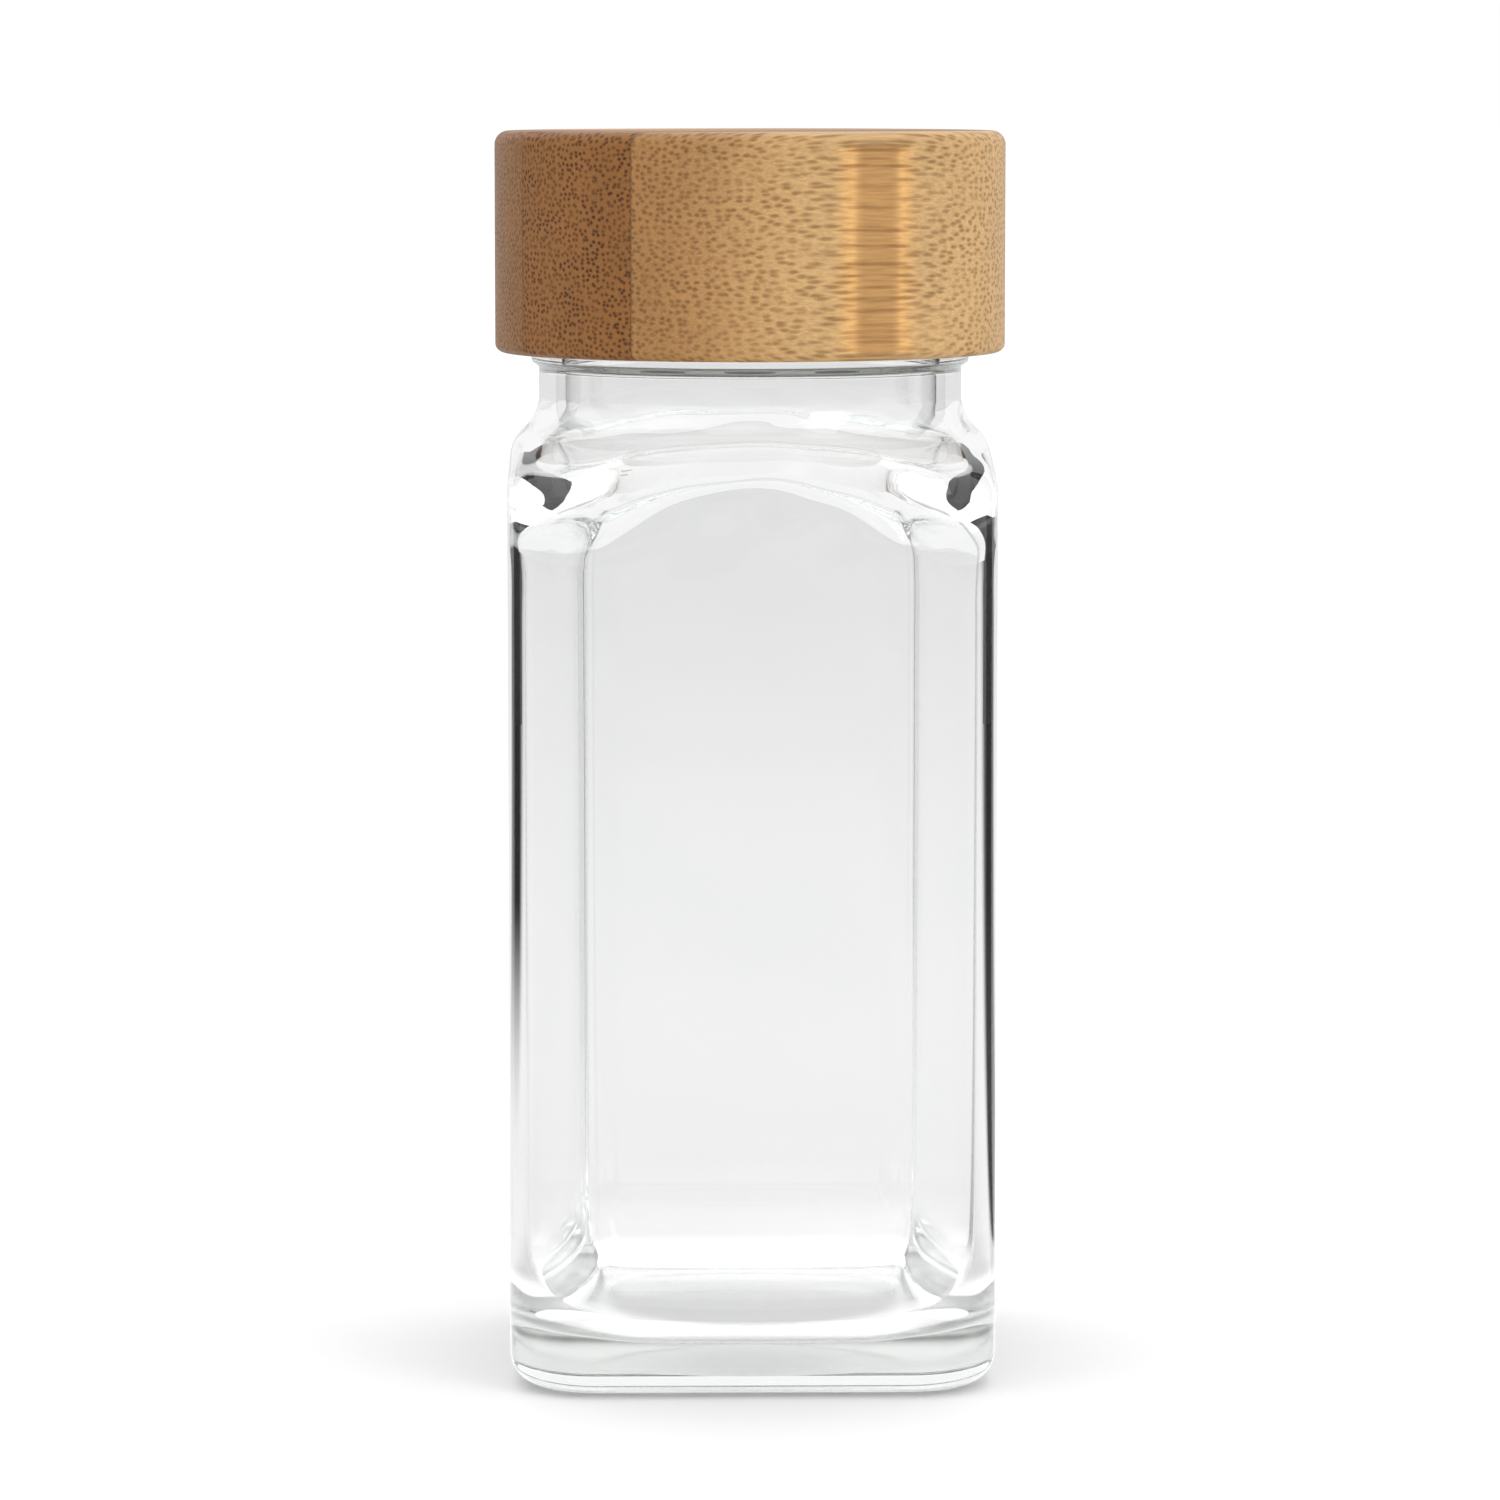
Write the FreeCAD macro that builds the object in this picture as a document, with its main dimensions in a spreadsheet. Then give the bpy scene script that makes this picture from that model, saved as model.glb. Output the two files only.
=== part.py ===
import FreeCAD, Part
import os
import Sketcher

# A square glass spice jar with a screw-on bamboo lid.
# Millimetres, Z up, origin at the middle of the base, flat glass faces square to X and Y.

doc = FreeCAD.newDocument("spice_jar")

# Every driving size: name, value, what it is.
SIZES = (
    ("body_width", 45.3, "glass body across its flat faces"),
    ("corner_radius", 8.0, "upright corners of the glass body"),
    ("glass_wall", 1.8, "glass thickness in the flat sides"),
    ("heel_radius", 3.0, "rounding where the sides meet the base"),
    ("floor_thickness", 4.2, "glass under the inside floor"),
    ("inside_corner", 8.5, "rounded corners of the inside, where the glass is thicker"),
    ("floor_round", 6.0, "rounding where the inside floor meets the walls"),
    ("punt_width", 30.5, "round hollow under the base"),
    ("punt_depth", 1.6, "how far that hollow rises"),
    ("shoulder_height", 91.6, "level where the shoulder has curved up into the neck"),
    ("shoulder_slope_degrees", 22.0, "shoulder slope from level, out at the corners"),
    ("shoulder_ledge", 2.75, "flat face standing out from the neck"),
    ("shoulder_round", 4.0, "rounding along the top of the flat faces"),
    ("inside_round", 6.0, "rounding along the top of the inside faces"),
    ("neck_cove", 4.0, "hollow curve from the neck out to the shoulder"),
    ("neck_height", 17.6, "top of the shoulder up to the rim"),
    ("rim_overrun", 2.0, "how far the inside is carried past the rim before it is taken out"),
    ("finish_wall", 2.4, "glass thickness around the mouth"),
    ("rim_round", 0.7, "rounding on the rim's edges"),
    ("bead_drop", 13.0, "rim down to the top of the neck ring"),
    ("bead_height", 2.0, "height of the neck ring"),
    ("bead_overhang", 0.7, "neck ring standing out from the neck"),
    ("bead_bevel", 0.6, "sloping edges of the neck ring"),
    ("thread_pitch", 4.2, "lid rise for each turn"),
    ("thread_turns", 1.4, "turns of glass thread"),
    ("thread_height", 0.8, "glass thread standing out from the neck"),
    ("thread_root_width", 2.2, "glass thread where it leaves the neck"),
    ("thread_crest_width", 0.8, "glass thread along its crest"),
    ("thread_drop", 3.2, "rim down to the middle of the thread's upper end"),
    ("thread_root", 0.4, "how far each thread runs into its wall"),
    ("thread_clearance", 0.25, "play between each crest and the facing wall"),
    ("flank_gap", 0.25, "play between the two threads' flanks"),
    ("liner_wall", 0.85, "liner skirt thickness"),
    ("liner_top", 1.0, "liner crown thickness"),
    ("liner_recess", 0.5, "liner skirt set up from the lid's lower edge"),
    ("liner_thread_turns", 1.25, "turns of liner thread"),
    ("liner_root_width", 1.8, "liner thread where it leaves the skirt"),
    ("liner_crest_width", 0.7, "liner thread along its crest"),
    ("lip_height", 0.5, "ring that keeps the seal in the liner"),
    ("lip_overhang", 0.5, "how far that ring stands in from the skirt"),
    ("lip_gap", 0.1, "seal down to that ring"),
    ("glue_gap", 0.05, "glue between liner and bamboo"),
    ("lid_wall", 2.15, "bamboo around the liner"),
    ("lid_top_thickness", 3.8, "bamboo over the liner"),
    ("lid_height", 20.7, "whole height of the lid"),
    ("lid_edge_round", 1.3, "rounding on the lid's top edge"),
    ("lid_foot_round", 0.8, "rounding on the lid's lower edge"),
    ("strip_width", 13.5, "each middle strip of the bamboo block"),
    ("strip_angle_degrees", 28.0, "fibre direction from X"),
    ("seal_thickness", 1.3, "seal disc"),
    ("seal_clearance", 0.2, "play around the seal disc"),
    ("seal_play", 0.1, "play between seal and liner crown"),
    ("seat_gap", 0.1, "seal down to the shaker's flange"),
    ("flange_thickness", 0.8, "shaker flange that lies on the rim"),
    ("flange_inset", 0.5, "flange set in from the neck's outside"),
    ("plug_clearance", 0.12, "play between shaker plug and mouth"),
    ("plug_wall", 0.9, "shaker plug thickness"),
    ("plug_depth", 7.0, "how far the plug goes down the mouth"),
    ("plug_bevel", 0.5, "lead-in at the plug's lower edge"),
    ("snap_height", 0.8, "each gripping ring on the plug"),
    ("snap_clearance", 0.03, "play between gripping rings and mouth"),
    ("snap_spacing", 2.0, "from one gripping ring to the next"),
    ("deck_drop", 2.6, "flange top down to the pierced deck"),
    ("deck_thickness", 0.9, "pierced deck"),
    ("hole_width", 5.8, "each shaking hole"),
    ("hole_circle", 10.2, "from the middle hole to each hole of the ring"),
    ("hole_count", 6, "holes in the ring"),
)

# Sizes and levels that follow from those above.
PLACES = (
    ("body_half", "=Sizes.body_width / 2"),
    ("jar_height", "=Sizes.shoulder_height + Sizes.neck_height"),
    ("neck_radius", "=Sizes.body_width / 2 - Sizes.shoulder_ledge"),
    ("mouth_radius", "=neck_radius - Sizes.finish_wall"),
    ("thread_radius", "=neck_radius + Sizes.thread_height"),
    ("bead_radius", "=neck_radius + Sizes.bead_overhang"),
    ("liner_inside", "=thread_radius + Sizes.thread_clearance"),
    ("liner_outside", "=liner_inside + Sizes.liner_wall"),
    ("liner_crest", "=neck_radius + Sizes.thread_clearance"),
    ("lip_radius", "=liner_inside - Sizes.lip_overhang"),
    ("lid_bore", "=liner_outside + Sizes.glue_gap"),
    ("lid_radius", "=lid_bore + Sizes.lid_wall"),
    ("seal_radius", "=liner_inside - Sizes.seal_clearance"),
    ("flange_radius", "=neck_radius - Sizes.flange_inset"),
    ("plug_radius", "=mouth_radius - Sizes.plug_clearance"),
    ("snap_radius", "=mouth_radius - Sizes.snap_clearance"),
    ("plug_inside", "=plug_radius - Sizes.plug_wall"),
    ("plug_tip", "=plug_radius - Sizes.plug_bevel"),
    ("punt_radius", "=Sizes.punt_width / 2"),
    ("hole_radius", "=Sizes.hole_width / 2"),
    ("far_radius", "=Sizes.body_width"),
    ("cove_middle", "=neck_radius + Sizes.neck_cove"),
    ("cove_reach", "=cove_middle - Sizes.neck_cove * sin(Sizes.shoulder_slope_degrees)"),
    ("cove_level", "=Sizes.shoulder_height - Sizes.neck_cove * cos(Sizes.shoulder_slope_degrees)"),
    ("far_level", "=cove_level - (far_radius - cove_reach) * tan(Sizes.shoulder_slope_degrees)"),
    ("bead_top", "=jar_height - Sizes.bead_drop"),
    ("bead_bottom", "=bead_top - Sizes.bead_height"),
    ("bead_upper_edge", "=bead_top - Sizes.bead_bevel"),
    ("bead_lower_edge", "=bead_bottom + Sizes.bead_bevel"),
    ("cavity_half", "=body_half - Sizes.glass_wall"),
    ("throat_cove", "=Sizes.neck_cove + Sizes.finish_wall"),
    ("throat_reach", "=cove_middle - throat_cove * sin(Sizes.shoulder_slope_degrees)"),
    ("throat_level", "=Sizes.shoulder_height - throat_cove * cos(Sizes.shoulder_slope_degrees)"),
    ("cavity_far_level", "=throat_level - (far_radius - throat_reach) * tan(Sizes.shoulder_slope_degrees)"),
    ("bore_top", "=jar_height + Sizes.rim_overrun"),
    ("cavity_length", "=bore_top - Sizes.floor_thickness"),
    ("thread_low", "=jar_height - Sizes.thread_drop - Sizes.thread_turns * Sizes.thread_pitch"),
    ("thread_wide_share", "=Sizes.thread_root / Sizes.thread_height"),
    ("thread_inside", "=neck_radius - Sizes.thread_root"),
    ("thread_flank_width", "=(Sizes.thread_root_width - Sizes.thread_crest_width) / 2"),
    ("thread_inside_half", "=Sizes.thread_root_width / 2 + thread_flank_width * thread_wide_share"),
    ("thread_inside_low", "=thread_low - thread_inside_half"),
    ("thread_inside_high", "=thread_low + thread_inside_half"),
    ("thread_crest_low", "=thread_low - Sizes.thread_crest_width / 2"),
    ("thread_crest_high", "=thread_low + Sizes.thread_crest_width / 2"),
    ("flank_slope_share", "=thread_flank_width / Sizes.thread_height"),
    ("flank_half", "=Sizes.thread_root_width / 2 - Sizes.thread_clearance * flank_slope_share"),
    ("flank_meet", "=flank_half + Sizes.liner_crest_width / 2"),
    ("liner_thread_low", "=thread_low - flank_meet - Sizes.flank_gap"),
    ("liner_slope_share", "=(Sizes.liner_root_width - Sizes.liner_crest_width) / 2 / Sizes.thread_height"),
    ("liner_thread_outside", "=liner_inside + Sizes.thread_root"),
    ("liner_outside_half", "=Sizes.liner_root_width / 2 + Sizes.thread_root * liner_slope_share"),
    ("liner_outside_low", "=liner_thread_low - liner_outside_half"),
    ("liner_outside_high", "=liner_thread_low + liner_outside_half"),
    ("liner_crest_low", "=liner_thread_low - Sizes.liner_crest_width / 2"),
    ("liner_crest_high", "=liner_thread_low + Sizes.liner_crest_width / 2"),
    ("flange_top", "=jar_height + Sizes.flange_thickness"),
    ("seal_bottom", "=flange_top + Sizes.seat_gap"),
    ("seal_top", "=seal_bottom + Sizes.seal_thickness"),
    ("lip_top", "=seal_bottom - Sizes.lip_gap"),
    ("lip_bottom", "=lip_top - Sizes.lip_height"),
    ("liner_ceiling", "=seal_top + Sizes.seal_play"),
    ("liner_crown", "=liner_ceiling + Sizes.liner_top"),
    ("lid_ceiling", "=liner_crown + Sizes.glue_gap"),
    ("lid_top", "=lid_ceiling + Sizes.lid_top_thickness"),
    ("lid_bottom", "=lid_top - Sizes.lid_height"),
    ("liner_bottom", "=lid_bottom + Sizes.liner_recess"),
    ("deck_top", "=flange_top - Sizes.deck_drop"),
    ("deck_bottom", "=deck_top - Sizes.deck_thickness"),
    ("plug_bottom", "=jar_height - Sizes.plug_depth"),
    ("plug_bevel_level", "=plug_bottom + Sizes.plug_bevel"),
    ("snap_low", "=plug_bevel_level + Sizes.snap_height / 2"),
    ("snap_low_top", "=snap_low + Sizes.snap_height"),
    ("snap_high", "=snap_low + Sizes.snap_spacing"),
    ("snap_high_top", "=snap_high + Sizes.snap_height"),
)


def fill_sheet(name, rows):
    """Makes a spreadsheet with one named cell in each row."""
    sheet = doc.addObject("Spreadsheet::Sheet", name)
    for number, row in enumerate(rows, start=1):
        cell = "B%d" % number
        sheet.set("A%d" % number, row[0].replace("_", " "))
        sheet.set(cell, str(row[1]))
        sheet.setAlias(cell, row[0])
    doc.recompute()
    return sheet


sizes = fill_sheet("Sizes", SIZES)
places = fill_sheet("Places", PLACES)


def number(path):
    """The present value of a cell such as Sizes.body_width."""
    sheet, alias = path.split(".")
    return float(getattr(doc.getObject(sheet), alias))


def new_body(name):
    return doc.addObject("PartDesign::Body", name)


def new_sketch(body, name, role):
    """A sketch on one of the body's own origin planes."""
    plane = next(p for p in body.Origin.OriginFeatures if p.Role == role)
    sketch = body.newObject("Sketcher::SketchObject", name)
    sketch.AttachmentSupport = (plane, [""])
    sketch.MapMode = "FlatFace"
    return sketch


def bind(sketch, constraint, path):
    """Adds a dimension and ties it to its cell."""
    index = sketch.addConstraint(constraint)
    sketch.setExpression("Constraints[%d]" % index, path)


def pin(sketch, line, across, up):
    """Holds a line's first point at named distances from the origin; None means on the axis."""
    if across is None:
        sketch.addConstraint(Sketcher.Constraint("PointOnObject", line, 1, -2))
    else:
        bind(sketch, Sketcher.Constraint("DistanceX", -1, 1, line, 1, number(across)), across)
    if up is None:
        sketch.addConstraint(Sketcher.Constraint("PointOnObject", line, 1, -1))
    else:
        bind(sketch, Sketcher.Constraint("DistanceY", -1, 1, line, 1, number(up)), up)


def outline(body, name, points):
    """A closed outline in the XZ plane through points named as (radius cell, level cell)."""
    sketch = new_sketch(body, name, "XZ_Plane")
    corners = [
        FreeCAD.Vector(number(across) if across else 0, number(up) if up else 0, 0) for across, up in points
    ]
    count = len(points)
    for index in range(count):
        sketch.addGeometry(Part.LineSegment(corners[index], corners[(index + 1) % count]), False)
    for index in range(count):
        sketch.addConstraint(Sketcher.Constraint("Coincident", index, 2, (index + 1) % count, 1))
    for index, (across, up) in enumerate(points):
        pin(sketch, index, across, up)
    return sketch


def coved(body, name, points, cove):
    """An outline whose first edge is a hollow arc about the neck, tangent to the next edge."""
    sketch = new_sketch(body, name, "XZ_Plane")
    corners = [FreeCAD.Vector(number(across), number(up), 0) for across, up in points]
    middle = FreeCAD.Vector(number("Places.cove_middle"), number("Sizes.shoulder_height"), 0)
    circle = Part.Circle(middle, FreeCAD.Vector(0, 0, 1), number(cove))
    arc = Part.ArcOfCircle(circle, circle.parameter(corners[0]), circle.parameter(corners[1]))
    sketch.addGeometry(arc, False)
    count = len(points)
    for index in range(1, count):
        sketch.addGeometry(Part.LineSegment(corners[index], corners[(index + 1) % count]), False)
    sketch.addConstraint(Sketcher.Constraint("Tangent", 0, 2, 1, 1))
    for index in range(1, count):
        sketch.addConstraint(Sketcher.Constraint("Coincident", index, 2, (index + 1) % count, 1))
    across = Sketcher.Constraint("DistanceX", -1, 1, 0, 3, middle.x)
    bind(sketch, across, "Places.cove_middle")
    up = Sketcher.Constraint("DistanceY", -1, 1, 0, 3, middle.y)
    bind(sketch, up, "Sizes.shoulder_height")
    bind(sketch, Sketcher.Constraint("Radius", 0, number(cove)), cove)
    start = Sketcher.Constraint("DistanceY", -1, 1, 0, 1, middle.y)
    bind(sketch, start, "Sizes.shoulder_height")
    for index in range(2, count):
        pin(sketch, index, *points[index])
    return sketch


def turned(body, kind, name, sketch):
    """A Revolution or Groove of a sketch, once round the Z axis."""
    feature = body.newObject("PartDesign::" + kind, name)
    feature.Profile = sketch
    feature.ReferenceAxis = (sketch, ["V_Axis"])
    feature.Angle = 360
    doc.recompute()
    return feature


def coiled(body, name, sketch, turns):
    """A thread: the sketch carried up a right-hand helix round the Z axis."""
    feature = body.newObject("PartDesign::AdditiveHelix", name)
    feature.Profile = sketch
    feature.ReferenceAxis = (sketch, ["V_Axis"])
    feature.Mode = "pitch-turns-angle"
    feature.LeftHanded = False
    feature.setExpression("Pitch", "Sizes.thread_pitch")
    feature.setExpression("Turns", turns)
    doc.recompute()
    return feature


def rounded(body, name, base, edges, radius):
    """A fillet on the edges of base for which edges(edge) is true."""
    whole = [(n, edge) for n, edge in enumerate(base.Shape.Edges, start=1) if not edge.Degenerated]
    chosen = ["Edge%d" % n for n, edge in whole if edges(edge)]
    feature = body.newObject("PartDesign::Fillet", name)
    feature.Base = (base, chosen)
    feature.setExpression("Radius", radius)
    doc.recompute()
    return feature


def rounded_square(body, name, half, corner, level):
    """A square with rounded corners about the Z axis, at a named level."""
    sketch = new_sketch(body, name, "XY_Plane")
    if level:
        sketch.setExpression("AttachmentOffset.Base.z", level)
    h = number(half)
    i = h - number(corner)
    ends = (((-i, -h), (i, -h)), ((h, -i), (h, i)), ((i, h), (-i, h)), ((-h, i), (-h, -i)))
    centres = ((i, -i), (i, i), (-i, i), (-i, -i))
    quarter = FreeCAD.Units.Quantity("90 deg").getValueAs("rad").Value
    for (x0, y0), (x1, y1) in ends:
        sketch.addGeometry(Part.LineSegment(FreeCAD.Vector(x0, y0, 0), FreeCAD.Vector(x1, y1, 0)), False)
    for turn, (x, y) in enumerate(centres):
        circle = Part.Circle(FreeCAD.Vector(x, y, 0), FreeCAD.Vector(0, 0, 1), number(corner))
        sketch.addGeometry(Part.ArcOfCircle(circle, (turn - 1) * quarter, turn * quarter), False)
    for side in range(4):
        sketch.addConstraint(Sketcher.Constraint("Tangent", side, 2, 4 + side, 1))
        sketch.addConstraint(Sketcher.Constraint("Tangent", 4 + side, 2, (side + 1) % 4, 1))
    for side in range(3):
        sketch.addConstraint(Sketcher.Constraint("Equal", 4 + side, 5 + side))
    bind(sketch, Sketcher.Constraint("DistanceX", -1, 1, 1, 1, h), half)
    bind(sketch, Sketcher.Constraint("DistanceX", 3, 1, -1, 1, h), half)
    bind(sketch, Sketcher.Constraint("DistanceY", -1, 1, 2, 1, h), half)
    bind(sketch, Sketcher.Constraint("DistanceY", 0, 1, -1, 1, h), half)
    bind(sketch, Sketcher.Constraint("Radius", 4, number(corner)), corner)
    sketch.addConstraint(Sketcher.Constraint("Horizontal", 0))
    sketch.addConstraint(Sketcher.Constraint("Vertical", 1))
    return sketch


def raised(body, name, sketch, length):
    feature = body.newObject("PartDesign::Pad", name)
    feature.Profile = sketch
    feature.setExpression("Length", length)
    doc.recompute()
    return feature


def same(a, b):
    """Whether two lengths of this jar are one and the same."""
    return abs(a - b) < number("Sizes.snap_clearance") / 100


def level_edge(edge, level):
    box = edge.BoundBox
    return same(box.ZMin, number(level)) and same(box.ZMax, number(level))


def circle_at(radius, level):
    """A test for the round edge of a named radius at a named level."""

    def test(edge):
        round_edge = isinstance(edge.Curve, Part.Circle)
        return round_edge and same(edge.Curve.Radius, number(radius)) and level_edge(edge, level)

    return test


def crest_edge(edge):
    """Where a sloping shoulder meets the upright sides: neither straight nor round."""
    return not isinstance(edge.Curve, (Part.Line, Part.Circle))


def foot_edge(level):
    return lambda edge: level_edge(edge, level)


# Inside of the jar, as a solid to be taken out of the glass.
cavity = new_body("jar_inside")
cavity_plan = rounded_square(
    cavity, "inside_plan", "Places.cavity_half", "Sizes.inside_corner", "Sizes.floor_thickness"
)
cavity_block = raised(cavity, "inside_block", cavity_plan, "Places.cavity_length")
cavity_slope = coved(
    cavity,
    "inside_slope",
    (
        ("Places.mouth_radius", "Sizes.shoulder_height"),
        ("Places.throat_reach", "Places.throat_level"),
        ("Places.far_radius", "Places.cavity_far_level"),
        ("Places.far_radius", "Places.bore_top"),
        ("Places.mouth_radius", "Places.bore_top"),
    ),
    "Places.throat_cove",
)
cavity_shoulder = turned(cavity, "Groove", "inside_shoulder", cavity_slope)
cavity_crest = rounded(cavity, "inside_crest", cavity_shoulder, crest_edge, "Sizes.inside_round")
rounded(cavity, "inside_foot", cavity_crest, foot_edge("Sizes.floor_thickness"), "Sizes.floor_round")

# Glass jar: a square body, a sloping shoulder, a round neck with its ring and thread.
jar = new_body("glass_jar")
jar_plan = rounded_square(jar, "body_plan", "Places.body_half", "Sizes.corner_radius", None)
jar_block = raised(jar, "body_block", jar_plan, "Places.jar_height")
jar_slope = coved(
    jar,
    "neck_and_shoulder",
    (
        ("Places.neck_radius", "Sizes.shoulder_height"),
        ("Places.cove_reach", "Places.cove_level"),
        ("Places.far_radius", "Places.far_level"),
        ("Places.far_radius", "Places.jar_height"),
        ("Places.neck_radius", "Places.jar_height"),
        ("Places.neck_radius", "Places.bead_top"),
        ("Places.bead_radius", "Places.bead_upper_edge"),
        ("Places.bead_radius", "Places.bead_lower_edge"),
        ("Places.neck_radius", "Places.bead_bottom"),
    ),
    "Sizes.neck_cove",
)
jar_shoulder = turned(jar, "Groove", "neck", jar_slope)
jar_crest = rounded(jar, "shoulder_crest", jar_shoulder, crest_edge, "Sizes.shoulder_round")
heel_edges = lambda edge: same(edge.BoundBox.ZMax, 0)
rounded(jar, "heel", jar_crest, heel_edges, "Sizes.heel_radius")

# The round hollow under the base is a shallow part of a ball.
punt_outline = new_sketch(jar, "punt_outline", "XZ_Plane")
punt_edge = FreeCAD.Vector(number("Places.punt_radius"), 0, 0)
punt_middle = FreeCAD.Vector(0, number("Sizes.punt_depth"), 0)
ball_radius = (punt_edge.Length ** 2 + punt_middle.Length ** 2) / (2 * punt_middle.Length)
ball_middle = FreeCAD.Vector(0, punt_middle.y - ball_radius, 0)
ball = Part.Circle(ball_middle, FreeCAD.Vector(0, 0, 1), ball_radius)
punt_outline.addGeometry(Part.LineSegment(FreeCAD.Vector(), punt_edge), False)
punt_arc = Part.ArcOfCircle(ball, ball.parameter(punt_edge), ball.parameter(punt_middle))
punt_outline.addGeometry(punt_arc, False)
punt_outline.addGeometry(Part.LineSegment(punt_middle, FreeCAD.Vector()), False)
punt_outline.addConstraint(Sketcher.Constraint("Coincident", 0, 1, -1, 1))
punt_outline.addConstraint(Sketcher.Constraint("PointOnObject", 0, 2, -1))
punt_outline.addConstraint(Sketcher.Constraint("Coincident", 0, 2, 1, 1))
punt_outline.addConstraint(Sketcher.Constraint("Coincident", 1, 2, 2, 1))
punt_outline.addConstraint(Sketcher.Constraint("Coincident", 2, 2, -1, 1))
punt_outline.addConstraint(Sketcher.Constraint("PointOnObject", 2, 1, -2))
punt_outline.addConstraint(Sketcher.Constraint("PointOnObject", 1, 3, -2))
punt_across = Sketcher.Constraint("DistanceX", -1, 1, 0, 2, number("Places.punt_radius"))
bind(punt_outline, punt_across, "Places.punt_radius")
punt_up = Sketcher.Constraint("DistanceY", -1, 1, 2, 1, number("Sizes.punt_depth"))
bind(punt_outline, punt_up, "Sizes.punt_depth")
turned(jar, "Groove", "punt", punt_outline)

hollow = jar.newObject("PartDesign::Boolean", "hollow")
hollow.Type = "Cut"
hollow.setObjects([cavity])
doc.recompute()
outer_rim = circle_at("Places.neck_radius", "Places.jar_height")
inner_rim = circle_at("Places.mouth_radius", "Places.jar_height")
rim_edges = lambda edge: outer_rim(edge) or inner_rim(edge)
rounded(jar, "rim", hollow, rim_edges, "Sizes.rim_round")
jar_thread_outline = outline(
    jar,
    "thread_outline",
    (
        ("Places.thread_inside", "Places.thread_inside_low"),
        ("Places.thread_radius", "Places.thread_crest_low"),
        ("Places.thread_radius", "Places.thread_crest_high"),
        ("Places.thread_inside", "Places.thread_inside_high"),
    ),
)
coiled(jar, "thread", jar_thread_outline, "Sizes.thread_turns")

# Shaker insert: a flange on the rim, a plug with two gripping rings, a pierced deck.
shaker = new_body("shaker_insert")
shaker_outline = outline(
    shaker,
    "shaker_outline",
    (
        (None, "Places.deck_bottom"),
        ("Places.plug_inside", "Places.deck_bottom"),
        ("Places.plug_inside", "Places.plug_bottom"),
        ("Places.plug_tip", "Places.plug_bottom"),
        ("Places.plug_radius", "Places.plug_bevel_level"),
        ("Places.plug_radius", "Places.snap_low"),
        ("Places.snap_radius", "Places.snap_low"),
        ("Places.snap_radius", "Places.snap_low_top"),
        ("Places.plug_radius", "Places.snap_low_top"),
        ("Places.plug_radius", "Places.snap_high"),
        ("Places.snap_radius", "Places.snap_high"),
        ("Places.snap_radius", "Places.snap_high_top"),
        ("Places.plug_radius", "Places.snap_high_top"),
        ("Places.plug_radius", "Places.jar_height"),
        ("Places.flange_radius", "Places.jar_height"),
        ("Places.flange_radius", "Places.flange_top"),
        ("Places.plug_inside", "Places.flange_top"),
        ("Places.plug_inside", "Places.deck_top"),
        (None, "Places.deck_top"),
    ),
)
turned(shaker, "Revolution", "shaker_turned", shaker_outline)


def shaking_hole(name, circle):
    """One hole through the deck, on a named circle or in the middle."""
    sketch = new_sketch(shaker, name + "_plan", "XY_Plane")
    sketch.setExpression("AttachmentOffset.Base.z", "Places.deck_top")
    middle = FreeCAD.Vector(number(circle) if circle else 0, 0, 0)
    sketch.addGeometry(Part.Circle(middle, FreeCAD.Vector(0, 0, 1), number("Places.hole_radius")), False)
    bind(sketch, Sketcher.Constraint("Radius", 0, number("Places.hole_radius")), "Places.hole_radius")
    if circle:
        sketch.addConstraint(Sketcher.Constraint("PointOnObject", 0, 3, -1))
        bind(sketch, Sketcher.Constraint("DistanceX", -1, 1, 0, 3, number(circle)), circle)
    else:
        sketch.addConstraint(Sketcher.Constraint("Coincident", 0, 3, -1, 1))
    pocket = shaker.newObject("PartDesign::Pocket", name)
    pocket.Profile = sketch
    pocket.setExpression("Length", "Sizes.deck_thickness")
    doc.recompute()
    return pocket


def hole_ring(name, circle, count):
    """A ring of holes: the first one and its copies round the Z axis."""
    first = shaking_hole(name, circle)
    ring = shaker.newObject("PartDesign::PolarPattern", name + "_ring")
    ring.Originals = [first]
    ring.Axis = (first.Profile[0], ["N_Axis"])
    ring.Angle = 360
    ring.setExpression("Occurrences", count)
    shaker.Tip = ring
    doc.recompute()


shaking_hole("middle_hole", None)
hole_ring("ring_hole", "Sizes.hole_circle", "Sizes.hole_count")

# Seal disc, loose under the liner's crown.
seal = new_body("seal_disc")
seal_outline = outline(
    seal,
    "seal_outline",
    (
        (None, "Places.seal_bottom"),
        ("Places.seal_radius", "Places.seal_bottom"),
        ("Places.seal_radius", "Places.seal_top"),
        (None, "Places.seal_top"),
    ),
)
turned(seal, "Revolution", "seal_turned", seal_outline)

# Threaded liner: a moulded cup glued into the bamboo, with a ring that keeps the seal in.
liner = new_body("threaded_liner")
liner_outline = outline(
    liner,
    "liner_outline",
    (
        (None, "Places.liner_ceiling"),
        ("Places.liner_inside", "Places.liner_ceiling"),
        ("Places.liner_inside", "Places.lip_top"),
        ("Places.lip_radius", "Places.lip_top"),
        ("Places.liner_inside", "Places.lip_bottom"),
        ("Places.liner_inside", "Places.liner_bottom"),
        ("Places.liner_outside", "Places.liner_bottom"),
        ("Places.liner_outside", "Places.liner_crown"),
        (None, "Places.liner_crown"),
    ),
)
turned(liner, "Revolution", "liner_turned", liner_outline)
liner_thread_outline = outline(
    liner,
    "liner_thread_outline",
    (
        ("Places.liner_crest", "Places.liner_crest_low"),
        ("Places.liner_thread_outside", "Places.liner_outside_low"),
        ("Places.liner_thread_outside", "Places.liner_outside_high"),
        ("Places.liner_crest", "Places.liner_crest_high"),
    ),
)
coiled(liner, "liner_thread", liner_thread_outline, "Sizes.liner_thread_turns")

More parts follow.
